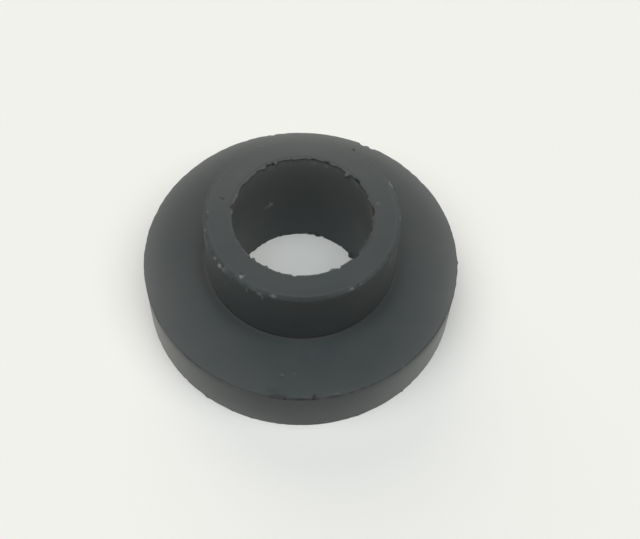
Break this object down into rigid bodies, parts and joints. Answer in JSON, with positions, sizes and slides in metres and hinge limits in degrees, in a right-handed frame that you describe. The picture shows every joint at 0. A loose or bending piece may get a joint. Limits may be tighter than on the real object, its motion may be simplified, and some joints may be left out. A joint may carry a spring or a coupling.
{
  "type": "rubber mount",
  "caption": "Moulded rubber mount: a thick round flange with a smaller round boss on it and a straight bore right through, to cushion a bolt in a panel hole.",
  "frame": {"origin": "on the bore's axis, at the flange's underside, which is the face the mount lies on", "axes": "+Z along the bore's axis, from the flange to the boss; the section is round, so X and Y are free"},
  "size_m": [0.0318, 0.0318, 0.0136],
  "materials": {
    "rubber": "matt dark grey moulded rubber, slightly bloomed and scuffed at the edges"
  },
  "bodies": {
    "root": {"rubber_mount": "rubber"}
  },
  "joints": []
}
